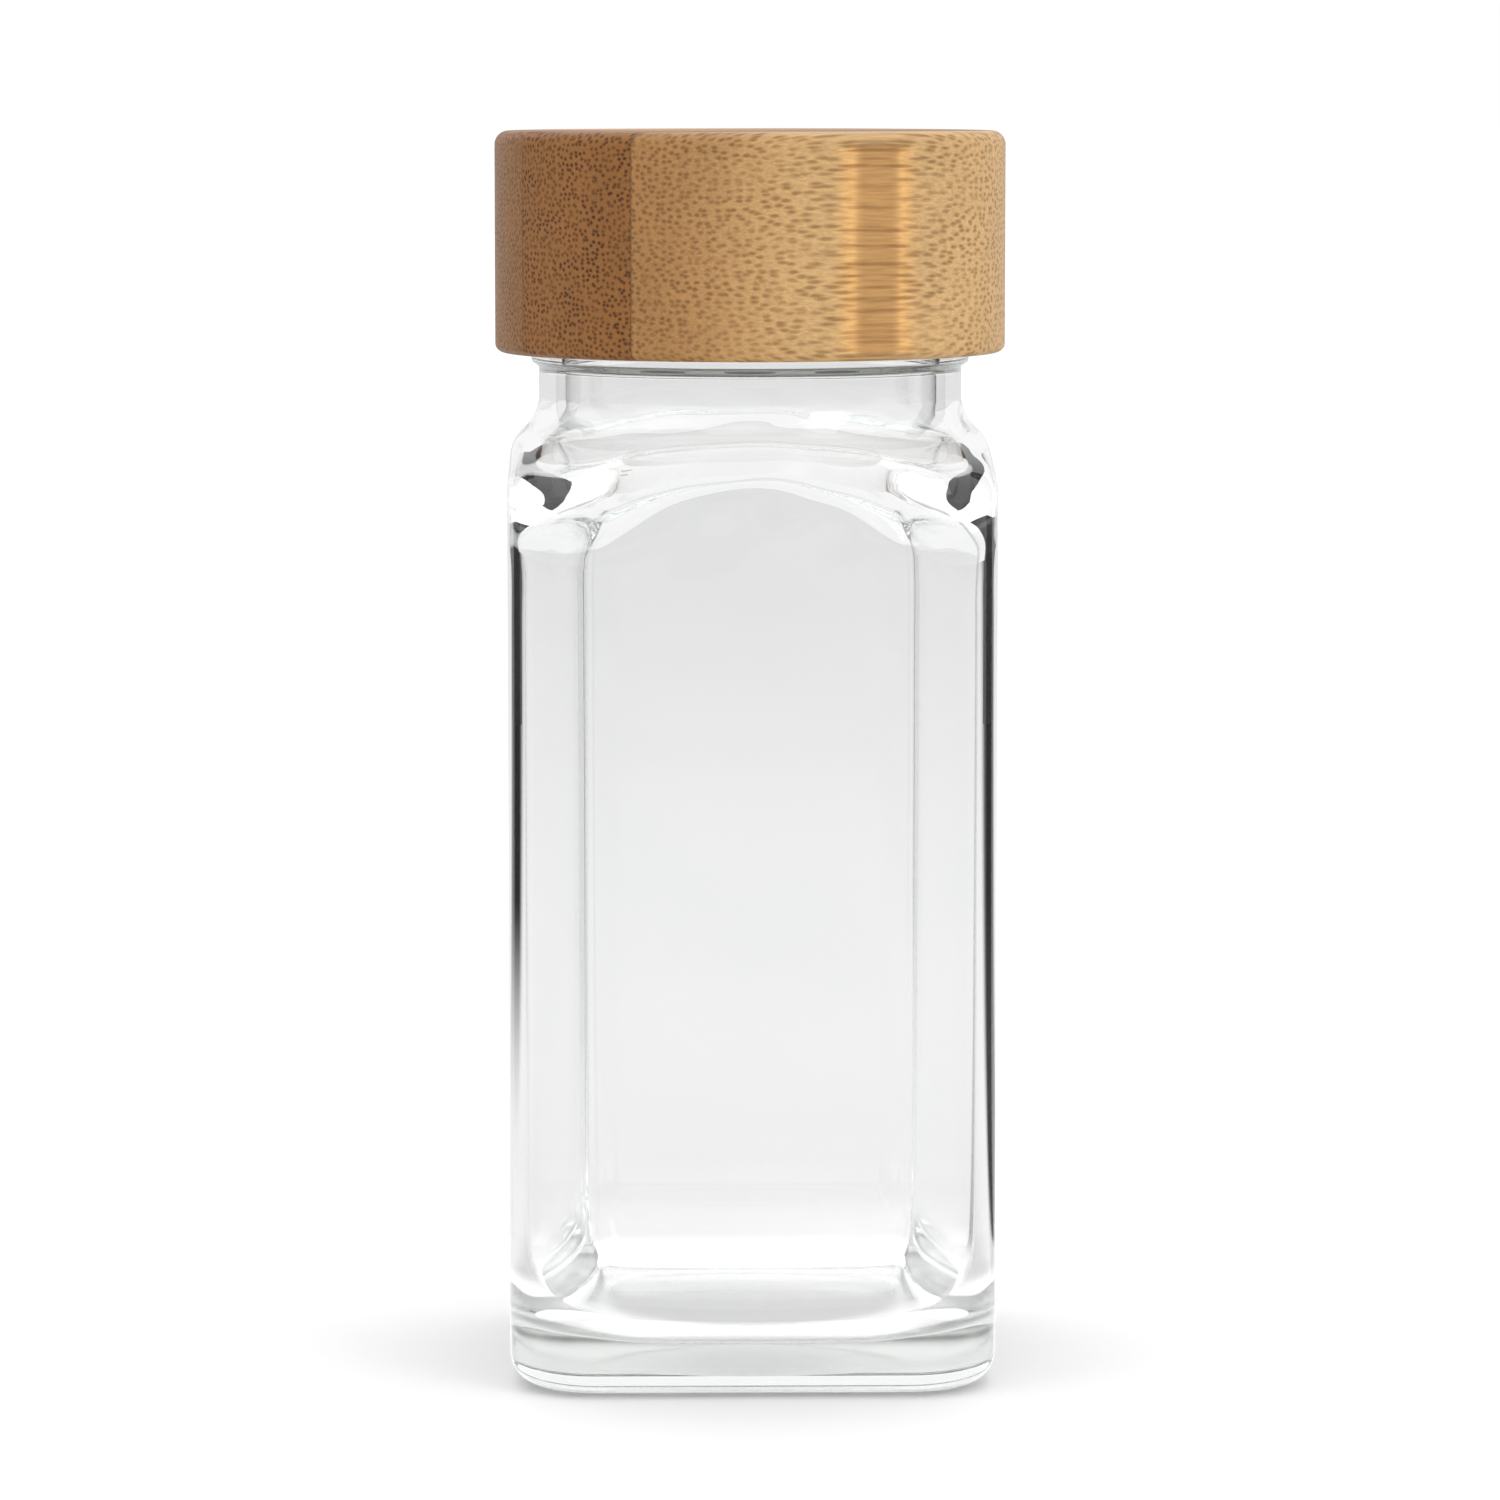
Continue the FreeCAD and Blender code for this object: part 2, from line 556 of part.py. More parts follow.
# Bamboo lid: a block glued up from four strips, turned and bored as one.
blank = new_body("lid_turned")
blank_outline = outline(
    blank,
    "blank_outline",
    (
        (None, "Places.lid_ceiling"),
        ("Places.lid_bore", "Places.lid_ceiling"),
        ("Places.lid_bore", "Places.lid_bottom"),
        ("Places.lid_radius", "Places.lid_bottom"),
        ("Places.lid_radius", "Places.lid_top"),
        (None, "Places.lid_top"),
    ),
)
blank_turned = turned(blank, "Revolution", "blank_turned", blank_outline)
top_edge = circle_at("Places.lid_radius", "Places.lid_top")
blank_top = rounded(blank, "blank_top", blank_turned, top_edge, "Sizes.lid_edge_round")
lower_edge = circle_at("Places.lid_radius", "Places.lid_bottom")
rounded(blank, "blank_foot", blank_top, lower_edge, "Sizes.lid_foot_round")


def bamboo_strip(name, start, width):
    """The part of the turned block that lies in one strip, start being its near glue face."""
    slab = doc.addObject("Part::Box", name + "_slab")
    slab.setExpression("Length", "Places.lid_radius * 2")
    slab.setExpression("Width", width)
    slab.setExpression("Height", "Sizes.lid_height")
    turn = "Sizes.strip_angle_degrees"
    place_x = "-Places.lid_radius * cos(%s) - (%s) * sin(%s)" % (turn, start, turn)
    place_y = "-Places.lid_radius * sin(%s) + (%s) * cos(%s)" % (turn, start, turn)
    slab.setExpression("Placement.Base.x", place_x)
    slab.setExpression("Placement.Base.y", place_y)
    slab.setExpression("Placement.Base.z", "Places.lid_bottom")
    slab.Placement.Rotation.Axis = FreeCAD.Vector(0, 0, 1)
    slab.setExpression("Placement.Rotation.Angle", turn)
    strip = doc.addObject("Part::Common", name)
    strip.Base = blank
    strip.Tool = slab
    return strip


outer_width = "Places.lid_radius - Sizes.strip_width"
strips = (
    bamboo_strip("bamboo_strip_1", "-Places.lid_radius", outer_width),
    bamboo_strip("bamboo_strip_2", "-Sizes.strip_width", "Sizes.strip_width"),
    bamboo_strip("bamboo_strip_3", "0", "Sizes.strip_width"),
    bamboo_strip("bamboo_strip_4", "Sizes.strip_width", outer_width),
)
doc.recompute()

# Nothing is written unless every object came out sound.
for item in doc.Objects:
    if "Invalid" in item.State or "Error" in item.State:
        raise RuntimeError("%s did not come out: %s" % (item.Name, item.State))

os.makedirs("parts", exist_ok=True)
for piece in (jar, shaker, seal, liner) + strips:
    shape = piece.Shape
    if shape.isNull() or not shape.isValid() or len(shape.Solids) != 1:
        raise RuntimeError("%s is not one sound solid" % piece.Label)
    shape.exportStep(os.path.join("parts", piece.Label + ".step"))
    box = shape.BoundBox
    size = (piece.Label, shape.Volume, box.ZMin, box.ZMax, box.XLength)
    print("%s %.1f mm3, z %.2f to %.2f, across %.2f" % size)
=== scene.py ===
from math import atan2, cos, pi, radians, sin, sqrt, tan

import bpy
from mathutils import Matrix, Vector


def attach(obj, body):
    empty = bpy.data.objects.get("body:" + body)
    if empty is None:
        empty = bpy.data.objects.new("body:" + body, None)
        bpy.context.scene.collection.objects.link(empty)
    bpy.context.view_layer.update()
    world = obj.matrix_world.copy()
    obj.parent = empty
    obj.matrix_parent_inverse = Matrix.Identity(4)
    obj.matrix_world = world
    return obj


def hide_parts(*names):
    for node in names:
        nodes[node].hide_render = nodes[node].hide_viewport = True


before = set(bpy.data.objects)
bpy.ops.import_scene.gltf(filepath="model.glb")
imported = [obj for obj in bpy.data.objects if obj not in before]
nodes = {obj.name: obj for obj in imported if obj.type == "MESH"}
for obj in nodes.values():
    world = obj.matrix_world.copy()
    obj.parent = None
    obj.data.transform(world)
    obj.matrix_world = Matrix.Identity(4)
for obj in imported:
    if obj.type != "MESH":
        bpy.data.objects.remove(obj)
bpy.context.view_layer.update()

MM = 0.001

# The glass in metres, with the sizes of the part's source.
BODY_WIDTH = 45.3 * MM
BODY_HALF = BODY_WIDTH / 2
CORNER = 8.0 * MM
WALL = 1.8 * MM
INSIDE_CORNER = 8.5 * MM
HEEL = 3.0 * MM
FLOOR = 4.2 * MM
FLOOR_ROUND = 6.0 * MM
PUNT_WIDTH = 30.5 * MM
PUNT_RADIUS = PUNT_WIDTH / 2
PUNT_DEPTH = 1.6 * MM
SHOULDER = 91.6 * MM
SLOPE = radians(22.0)
SHOULDER_ROUND = 4.0 * MM
NECK_LEDGE = 2.75 * MM
NECK_RADIUS = BODY_HALF - NECK_LEDGE
NECK_COVE = 4.0 * MM
MOUTH_WALL = 2.4 * MM
MOUTH_RADIUS = NECK_RADIUS - MOUTH_WALL
NECK_HEIGHT = 17.6 * MM
RIM = SHOULDER + NECK_HEIGHT
RIM_ROUND = 0.7 * MM
BEAD_DROP = 13.0 * MM
BEAD_HEIGHT = 2.0 * MM
BEAD_TOP = RIM - BEAD_DROP
BEAD_BOTTOM = BEAD_TOP - BEAD_HEIGHT
BEAD_OVERHANG = 0.7 * MM
THREAD_PITCH = 4.2 * MM
THREAD_TURNS = 1.4
THREAD_HEIGHT = 0.8 * MM
THREAD_ROOT_WIDTH = 2.2 * MM
THREAD_HALF = THREAD_ROOT_WIDTH / 2
THREAD_DROP = 3.2 * MM
THREAD_LOW = RIM - THREAD_DROP - THREAD_TURNS * THREAD_PITCH

# Softer forms that only this skin of the glass has: in the inside's shoulder and floor, on the neck's
# ring and at the thread's crest and ends.
INSIDE_ROUND = 5.0 * MM
INSIDE_CORNER_ROUND = 10.0 * MM
FLOOR_FLAT = 15.0 * MM
FLOOR_SQUARE_SHARE = 0.3
FLOOR_RISE = 11.0 * MM
FLOOR_POWER = 1.7
RIPPLE_MM = 0.07
RIPPLE_LEVELS_MM = (70.0, 86.0)
RIPPLE_START = 2.5 * MM
BEAD_SIDE = 0.35
THREAD_FADE = 0.08
THREAD_CREST = 0.25

# How many steps go round the glass, and how many points each stretch of its outline has.
ROUND_STEPS = 240
CREST_POINTS = 14
SLOPE_POINTS = 8
COVE_POINTS = 20
PUNT_POINTS = 16
FOOT_POINTS = 6
HEEL_POINTS = 12
WALL_POINTS = 26
SHOULDER_POINTS = 48
NECK_POINTS = 6
BEAD_POINTS = 18
THREAD_POINTS = 90
RIM_POINTS = 8
MOUTH_POINTS = 16
INSIDE_WALL_POINTS = 48
FLOOR_EDGE_POINTS = 24
FLOOR_POINTS = 14

# The lid's strips, with the sizes of the part's source in millimetres: their turn and their glue faces.
STRIP_TURN = radians(28.0)
STRIP_WIDTH = 13.5
LID_RADIUS = 24.0
GLUE_FACES = (-LID_RADIUS, -STRIP_WIDTH, 0.0, STRIP_WIDTH, LID_RADIUS)

# The middle of a noise's values, over which a look goes from one end to the other.
NOISE_SPAN = (0.3, 0.7)
WHITE = (1.0, 1.0, 1.0, 1.0)


def square_reach(angle, half, corner):
    """How far a square with rounded corners reaches from its middle at an angle."""
    x, y = abs(cos(angle)), abs(sin(angle))
    if x < y:
        x, y = y, x
    flat = half - corner
    if y * half <= flat * x:
        return half / x
    along = flat * (x + y)
    return along + sqrt(along * along - 2 * flat * flat + corner * corner)


def smooth(low, high, value):
    """0 up to low, 1 from high on, and an even curve between them."""
    t = min(1.0, max(0.0, (value - low) / (high - low)))
    return t * t * (3 - 2 * t)


def spread(first, last, count):
    """Numbers from first to last, both ends in."""
    return [first + (last - first) * n / (count - 1) for n in range(count)]


def thread_rise(angle, level):
    """How far the glass thread stands out at one place on the neck; its ends fade."""
    out = 0.0
    for turn in range(int(THREAD_TURNS) + 1):
        climbed = (angle % (2 * pi)) / (2 * pi) + turn
        if climbed > THREAD_TURNS:
            continue
        fade = smooth(0.0, THREAD_FADE, climbed) * smooth(0.0, THREAD_FADE, THREAD_TURNS - climbed)
        off = abs(level - THREAD_LOW - climbed * THREAD_PITCH) / THREAD_HALF
        out = max(out, fade * THREAD_HEIGHT * (1 - smooth(THREAD_CREST, 1.0, off)))
    return out


def ripple(angle, level):
    """Slight unevenness of the inside face in the shoulder: a slow and a quick made-up wave."""
    up = level / MM

    def wave(turns, climb, start):
        return sin(turns * angle + climb * up + start)

    slow = wave(3, 0.21, 0.0) * wave(2, 0.3, 0.6)
    quick = wave(7, -0.4, 1.3) * wave(-5, 0.5, 0.4)
    return (RIPPLE_MM * slow + RIPPLE_MM * quick) * smooth(*RIPPLE_LEVELS_MM, up) * MM


def shoulder_line(wall, cove, rounding):
    """Points (radius, level) from the top of an upright wall over its rounded crest up to the neck."""
    middle = NECK_RADIUS + NECK_COVE
    join = middle - cove * sin(SLOPE)
    join_level = SHOULDER - cove * cos(SLOPE)
    centre = wall - rounding
    level = SHOULDER - sqrt((cove + rounding) ** 2 - (middle - centre) ** 2)
    lean = atan2(SHOULDER - level, middle - centre)
    if lean > pi / 2 - SLOPE:
        level = join_level - (centre - join) * tan(SLOPE) - rounding / cos(SLOPE)
        lean = pi / 2 - SLOPE
    points = []
    for t in spread(0.0, lean, CREST_POINTS):
        points.append((centre + rounding * cos(t), level + rounding * sin(t)))
    crest, top = points[-1]
    if lean >= pi / 2 - SLOPE:
        for share in spread(0.0, 1.0, SLOPE_POINTS)[1:]:
            points.append((crest + (join - crest) * share, top + (join_level - top) * share))
    for t in spread(lean, 0.0, COVE_POINTS)[1:]:
        points.append((middle - cove * cos(t), SHOULDER - cove * sin(t)))
    return points


def even_line(points, count):
    """The same line with its points spread evenly along it."""
    lengths = [0.0]
    for (a, b), (c, d) in zip(points, points[1:]):
        lengths.append(lengths[-1] + sqrt((c - a) ** 2 + (d - b) ** 2))
    out = []
    n = 0
    for want in spread(0.0, lengths[-1], count):
        while n < len(points) - 2 and lengths[n + 1] < want:
            n += 1
        share = (want - lengths[n]) / (lengths[n + 1] - lengths[n])
        (a, b), (c, d) = points[n], points[n + 1]
        out.append((a + (c - a) * share, b + (d - b) * share))
    return out


def foot_line(angle):
    """Points from the middle of the hollow under the base, out over the foot and round the heel."""
    points = []
    ball = (PUNT_RADIUS ** 2 + PUNT_DEPTH ** 2) / (2 * PUNT_DEPTH)
    for r in spread(0.0, PUNT_RADIUS, PUNT_POINTS)[1:]:
        points.append((r, PUNT_DEPTH - ball + sqrt(ball * ball - r * r)))
    stand = square_reach(angle, BODY_HALF - HEEL, CORNER - HEEL)
    for r in spread(PUNT_RADIUS, stand, FOOT_POINTS)[1:-1]:
        points.append((r, 0.0))
    for t in spread(0.0, pi / 2, HEEL_POINTS):
        inset = HEEL * (1 - sin(t))
        points.append((square_reach(angle, BODY_HALF - inset, CORNER - inset), HEEL * (1 - cos(t))))
    return points


def outside_line(angle):
    """Points from the heel up the outside and over the shoulder to the neck."""
    wall = square_reach(angle, BODY_HALF, CORNER)
    shoulder = even_line(shoulder_line(wall, NECK_COVE, SHOULDER_ROUND), SHOULDER_POINTS)
    upright = [(wall, z) for z in spread(HEEL, shoulder[0][1], WALL_POINTS)[1:-1]]
    return upright + shoulder


def neck_line(angle):
    """Points up the neck with its ring and thread, over the rim and down the mouth."""
    points = [(NECK_RADIUS, z) for z in spread(SHOULDER, BEAD_BOTTOM, NECK_POINTS)[1:-1]]
    for share in spread(0.0, 1.0, BEAD_POINTS):
        swell = BEAD_OVERHANG * smooth(0.0, BEAD_SIDE, share) * smooth(0.0, BEAD_SIDE, 1 - share)
        points.append((NECK_RADIUS + swell, BEAD_BOTTOM + (BEAD_TOP - BEAD_BOTTOM) * share))
    for z in spread(BEAD_TOP, RIM - RIM_ROUND, THREAD_POINTS)[1:]:
        points.append((NECK_RADIUS + thread_rise(angle, z), z))
    for t in spread(0.0, pi / 2, RIM_POINTS)[1:]:
        points.append((NECK_RADIUS - RIM_ROUND * (1 - cos(t)), RIM - RIM_ROUND * (1 - sin(t))))
    for t in spread(pi / 2, pi, RIM_POINTS):
        points.append((MOUTH_RADIUS + RIM_ROUND * (1 + cos(t)), RIM - RIM_ROUND * (1 - sin(t))))
    for z in spread(RIM - RIM_ROUND, SHOULDER, MOUTH_POINTS)[1:-1]:
        points.append((MOUTH_RADIUS, z))
    return points


def inside_line(angle):
    """Points from the mouth over the inside's shoulder, down its wall and in along its floor."""
    half = BODY_HALF - WALL
    wall = square_reach(angle, half, INSIDE_CORNER)
    toward_corner = smooth(half, square_reach(pi / 4, half, INSIDE_CORNER), wall)
    rounding = INSIDE_ROUND + (INSIDE_CORNER_ROUND - INSIDE_ROUND) * toward_corner
    cove = NECK_COVE + NECK_RADIUS - MOUTH_RADIUS
    shoulder = even_line(shoulder_line(wall, cove, rounding), SHOULDER_POINTS)
    points = []
    for r, z in reversed(shoulder):
        points.append((r + ripple(angle, z) * smooth(0.0, RIPPLE_START, SHOULDER - z), z))
    for z in spread(shoulder[0][1], FLOOR + FLOOR_RISE, INSIDE_WALL_POINTS)[1:]:
        points.append((wall + ripple(angle, z), z))
    floor_edge = FLOOR_FLAT + FLOOR_SQUARE_SHARE * (wall - FLOOR_ROUND - FLOOR_FLAT)
    for t in spread(pi / 2, 0.0, FLOOR_EDGE_POINTS)[1:]:
        reach = wall - (wall - floor_edge) * (1 - sin(t)) ** FLOOR_POWER
        points.append((reach, FLOOR + FLOOR_RISE * (1 - cos(t))))
    for share in spread(0.0, 1.0, FLOOR_POINTS)[1:-1]:
        points.append((floor_edge * (1 - share), FLOOR))
    return points


def glass_profile(angle):
    """Points (radius, level) from under the foot up the outside, over the rim and down the inside."""
    return foot_line(angle) + outside_line(angle) + neck_line(angle) + inside_line(angle)


def new_mesh(name, verts, faces):
    """A smooth-shaded mesh object in the scene."""
    mesh = bpy.data.meshes.new(name)
    mesh.from_pydata(verts, [], faces)
    mesh.polygons.foreach_set("use_smooth", [True] * len(mesh.polygons))
    mesh.update()
    obj = bpy.data.objects.new(name, mesh)
    bpy.context.scene.collection.objects.link(obj)
    return obj


def glass_body():
    """The jar's glass as one closed smooth skin, with a middle point under its foot and one on its floor."""
    verts = [(0.0, 0.0, PUNT_DEPTH), (0.0, 0.0, FLOOR)]
    middles = len(verts)
    count = len(glass_profile(0.0))
    for step in range(ROUND_STEPS):
        angle = 2 * pi * step / ROUND_STEPS
        verts.extend((r * cos(angle), r * sin(angle), z) for r, z in glass_profile(angle))
    faces = []
    for step in range(ROUND_STEPS):
        here = middles + step * count
        beside = middles + (step + 1) % ROUND_STEPS * count
        faces.append((0, beside, here))
        for n in range(count - 1):
            faces.append((here + n, beside + n, beside + n + 1, here + n + 1))
        faces.append((1, here + count - 1, beside + count - 1))
    return new_mesh("jar_glass", verts, faces)


class Tree:
    """The nodes of a material or of the world, made and joined in short calls."""

    def __init__(self, owner, shader):
        owner.use_nodes = True
        self.owner = owner
        self.nodes = owner.node_tree.nodes
        self.links = owner.node_tree.links
        self.shader = self.nodes[shader]

    def fill(self, node, inputs):
        """Links each value that is a socket, and sets each other one as it is."""
        for key, value in inputs.items():
            if isinstance(value, bpy.types.NodeSocket):
                self.links.new(value, node.inputs[key])
            else:
                node.inputs[key].default_value = value

    def node(self, kind, inputs, **settings):
        made = self.nodes.new(kind)
        for key, value in settings.items():
            setattr(made, key, value)
        self.fill(made, inputs)
        return made

    def math(self, operation, a, b=0.0):
        return self.node("ShaderNodeMath", {0: a, 1: b}, operation=operation).outputs[0]

    def vector(self, operation, a, b):
        return self.node("ShaderNodeVectorMath", {0: a, 1: b}, operation=operation).outputs[0]

    def joined(self, x, y, z):
        return self.node("ShaderNodeCombineXYZ", {0: x, 1: y, 2: z}).outputs[0]

    def parts(self, vector):
        return self.node("ShaderNodeSeparateXYZ", {0: vector}).outputs

    def ramp(self, value, low, high, out_low=0.0, out_high=1.0):
        """value carried smoothly from low..high to out_low..out_high."""
        span = {"From Min": low, "From Max": high, "To Min": out_low, "To Max": out_high}
        made = self.node("ShaderNodeMapRange", {"Value": value, **span}, interpolation_type="SMOOTHSTEP")
        return made.outputs[0]

    def place(self):
        """Where the shaded point is on the piece, in millimetres."""
        where = self.node("ShaderNodeTexCoord", {}).outputs["Object"]
        inputs = {0: where, "Scale": 1 / MM}
        return self.node("ShaderNodeVectorMath", inputs, operation="SCALE").outputs[0]

    def noise(self, vector, scale=1.0, detail=2.0, roughness=0.5):
        inputs = {"Vector": vector, "Scale": scale, "Detail": detail, "Roughness": roughness}
        return self.node("ShaderNodeTexNoise", inputs).outputs[0]

    def mix(self, share, a, b, blend="MIX"):
        """Two colours mixed. A mix node has its colours at 6 and 7, and their result at 2."""
        inputs = {0: share, 6: a, 7: b}
        return self.node("ShaderNodeMix", inputs, data_type="RGBA", blend_type=blend).outputs[2]

    def bump(self, height, distance, strength):
        inputs = {"Height": height, "Distance": distance, "Strength": strength}
        return self.node("ShaderNodeBump", inputs).outputs[0]


def paint(name):
    """A new material's tree."""
    return Tree(bpy.data.materials.new(name), "Principled BSDF")


def tone(red, green, blue):
    """A linear colour from the 0 to 255 values a picture has."""

    def linear(value):
        share = value / 255
        return share / 12.92 if share <= 0.04045 else ((share + 0.055) / 1.055) ** 2.4

    return (linear(red), linear(green), linear(blue), 1.0)


# How a bamboo pattern is drawn out along the fibre, across it and upright, per millimetre.
BEND_DRAWN = (0.03, 0.12, 0.12)
PATCH_DRAWN = (0.05, 0.4, 0.5)
FINE_DRAWN = (0.25, 5.0, 5.0)
BROAD_DRAWN = (0.02, 0.2, 0.08)

# Bamboo's tones: where the tone changes along the fibre, from left ends darkened by painted shade to the
# right ends, how squarely a face lies for the fibres to be in it, how far pith and bundles differ from the
# ground in red, green and blue, and the glue lines.
END_CHANGE_MM = (-20.0, -4.0)
FACE_ALONG = (0.98, 0.999)
FACE_ALONG_SHARE = 0.55
PITH_LIGHTER = (0.12, 0.14, 0.16)
BUNDLE_DARKER = (0.3, 0.35, 0.42)
GLUE_TONE = (92, 60, 34)
GLUE_EDGE_MM = (0.16, 0.04)
GLUE_SHARE = 0.45
FIBRE_GRAIN = 0.04 * MM


def fibre_face(tree):
    """1 on faces square to the strips' width, where the fibres lie in the face."""
    normal = tree.node("ShaderNodeNewGeometry", {}).outputs["Normal"]
    local = tree.node(
        "ShaderNodeVectorTransform",
        {0: normal},
        vector_type="NORMAL",
        convert_from="WORLD",
        convert_to="OBJECT",
    ).outputs[0]
    across = (-sin(STRIP_TURN), cos(STRIP_TURN), 0.0)
    facing = tree.node("ShaderNodeVectorMath", {0: local, 1: across}, operation="DOT_PRODUCT")
    return tree.ramp(tree.math("ABSOLUTE", facing.outputs["Value"]), *FACE_ALONG)


def bamboo(name, left, right, along, per_mm, contrast, shift, first, last):
    """Bamboo: bundles run with the fibre, so ends show dots and faces show lines.

    left and right are the tones towards the two ends of the fibres, each strip's own tone with painted shade
    that makes the left ends darker, and along is the tone where fibres lie in the face. per_mm is how close
    the bundles are, contrast is how far they stand out, shift sets the pattern apart from the other strips',
    and first and last are the places of the glue faces.
    """
    tree = paint(name)
    inputs = {"Vector": tree.place(), "Angle": -STRIP_TURN}
    turned = tree.node("ShaderNodeVectorRotate", inputs, rotation_type="Z_AXIS").outputs[0]
    lengthwise, across, _ = tree.parts(turned)
    moved = tree.vector("ADD", turned, (shift, shift, shift))
    bend = tree.noise(tree.vector("MULTIPLY", moved, BEND_DRAWN), detail=1.0)
    bent = tree.vector("ADD", moved, tree.joined(0.0, bend, bend))
    _, bent_across, bent_up = tree.parts(bent)
    cells = tree.node(
        "ShaderNodeTexVoronoi",
        {"Vector": tree.joined(bent_across, bent_up, 0.0), "Scale": per_mm, "Randomness": 0.8},
        voronoi_dimensions="2D",
    ).outputs["Distance"]
    patches = tree.noise(tree.vector("MULTIPLY", moved, PATCH_DRAWN))
    strength = tree.ramp(patches, *NOISE_SPAN, out_low=0.55, out_high=1.0)
    bundles = tree.math("MULTIPLY", tree.ramp(cells, low=0.5, high=0.1), strength)
    fine = tree.noise(tree.vector("MULTIPLY", bent, FINE_DRAWN), roughness=0.6)
    broad = tree.noise(tree.vector("MULTIPLY", moved, BROAD_DRAWN))

    # Painted shade: the ground darkens to the left tone towards the fibres' left ends.
    ground = tree.mix(tree.ramp(lengthwise, *END_CHANGE_MM), tone(*left), tone(*right))
    ground = tree.mix(tree.math("MULTIPLY", fibre_face(tree), FACE_ALONG_SHARE), ground, tone(*along))
    pith_tone = tuple(1 + share * contrast for share in PITH_LIGHTER) + (1.0,)
    bundle_tone = tuple(1 - share * contrast for share in BUNDLE_DARKER) + (1.0,)
    pith = tree.mix(1.0, ground, pith_tone, "MULTIPLY")
    bundle = tree.mix(1.0, ground, bundle_tone, "MULTIPLY")
    ground = tree.mix(bundles, pith, bundle)
    streaks = tree.ramp(fine, low=0.25, high=0.75, out_low=0.84, out_high=1.14)
    lift = tree.math("ADD", streaks, tree.ramp(broad, *NOISE_SPAN, out_low=-0.06, out_high=0.06))
    ground = tree.mix(1.0, ground, tree.joined(lift, lift, lift), "MULTIPLY")
    to_first = tree.math("ABSOLUTE", tree.math("SUBTRACT", across, first))
    to_last = tree.math("ABSOLUTE", tree.math("SUBTRACT", across, last))
    glue = tree.ramp(tree.math("MINIMUM", to_first, to_last), *GLUE_EDGE_MM)
    ground = tree.mix(tree.math("MULTIPLY", glue, GLUE_SHARE), ground, tone(*GLUE_TONE))

    height = tree.math("SUBTRACT", tree.math("MULTIPLY", fine, 0.5), bundles)
    tree.fill(tree.shader, {
        "Base Color": ground,
        "Roughness": tree.ramp(bundles, 0.0, 1.0, out_low=0.44, out_high=0.58),
        "Specular IOR Level": 0.25,
        "Normal": tree.bump(height, FIBRE_GRAIN, strength=0.6),
    })
    return tree.owner


def plastic(name, light, dark, roughness, grain):
    """Moulded plastic: faint cloudiness and a fine moulded grain."""
    tree = paint(name)
    where = tree.place()
    cloud = tree.ramp(tree.noise(where, scale=0.12, detail=3.0), *NOISE_SPAN)
    speckle = tree.noise(where, scale=3.0, detail=3.0)
    tree.fill(tree.shader, {
        "Base Color": tree.mix(cloud, tone(*light), tone(*dark)),
        "Roughness": tree.ramp(speckle, 0.2, 0.8, out_low=roughness - 0.05, out_high=roughness + 0.07),
        "Normal": tree.bump(speckle, grain, strength=0.5),
        "Subsurface Weight": 0.15,
        "Subsurface Scale": 2.0 * MM,
    })
    return tree.owner


# The glass: its tint, and in millimetres where the stipple under the foot and in the hollow fades out.
GLASS_TINT = (0.985, 0.992, 0.988, 1.0)
GLASS_DEPTH_TINT = (0.72, 0.84, 0.78, 1.0)
GLASS_DENSITY = 3.0
GLASS_BEND = 1.52
STAND_FADE_MM = (0.8, 0.4)
HOLLOW_FADE_MM = (2.4, 2.0)
HOLLOW_EDGE_MM = (17.0, 16.0)
STIPPLE_ROUGHNESS = 0.35


def clear_glass():
    """Soda glass with a faint grey-green in its depth, stippled on its foot and in the hollow under it."""
    tree = paint("clear_glass")
    where = tree.place()
    tint = tree.ramp(tree.noise(where, scale=0.06), *NOISE_SPAN)
    x, y, z = tree.parts(where)
    squares = tree.math("ADD", tree.math("POWER", x, 2.0), tree.math("POWER", y, 2.0))
    away = tree.math("SQRT", squares)
    stand = tree.ramp(z, *STAND_FADE_MM)
    hollow = tree.math("MULTIPLY", tree.ramp(z, *HOLLOW_FADE_MM), tree.ramp(away, *HOLLOW_EDGE_MM))
    stipple = tree.math("MAXIMUM", stand, hollow)
    tree.fill(tree.shader, {
        "Base Color": tree.mix(tint, GLASS_TINT, WHITE),
        "Transmission Weight": 1.0,
        "IOR": GLASS_BEND,
        "Roughness": tree.math("MULTIPLY", stipple, STIPPLE_ROUGHNESS),
    })
    inputs = {"Color": GLASS_DEPTH_TINT, "Density": GLASS_DENSITY}
    depth = tree.node("ShaderNodeVolumeAbsorption", inputs).outputs[0]
    tree.fill(tree.nodes["Material Output"], {"Volume": depth})
    return tree.owner


def give(obj, material):
    """Makes a material the only one of an object."""
    obj.data.materials.clear()
    obj.data.materials.append(material)


glass = glass_body()
give(glass, clear_glass())
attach(glass, "jar")
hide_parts("glass_jar")

# Each strip's material, its tones (left, darkened by painted shade; right; along), bundles per millimetre,
# contrast and shift.
STRIPS = (
    ("bamboo_light", (150, 108, 63), (184, 147, 99), (232, 172, 98), 1.8, 1.2, 3.0),
    ("bamboo_dark", (122, 79, 37), (128, 86, 46), (136, 92, 50), 1.9, 2.2, 41.0),
    ("bamboo_mid", (128, 88, 50), (160, 118, 74), (172, 126, 72), 2.0, 1.2, 83.0),
    ("bamboo_pale", (168, 126, 82), (188, 148, 100), (212, 160, 94), 1.8, 1.2, 127.0),
)
for number, look in enumerate(STRIPS, start=1):
    first, last = GLUE_FACES[number - 1:number + 1]
    give(nodes["bamboo_strip_%d" % number], bamboo(*look, first, last))

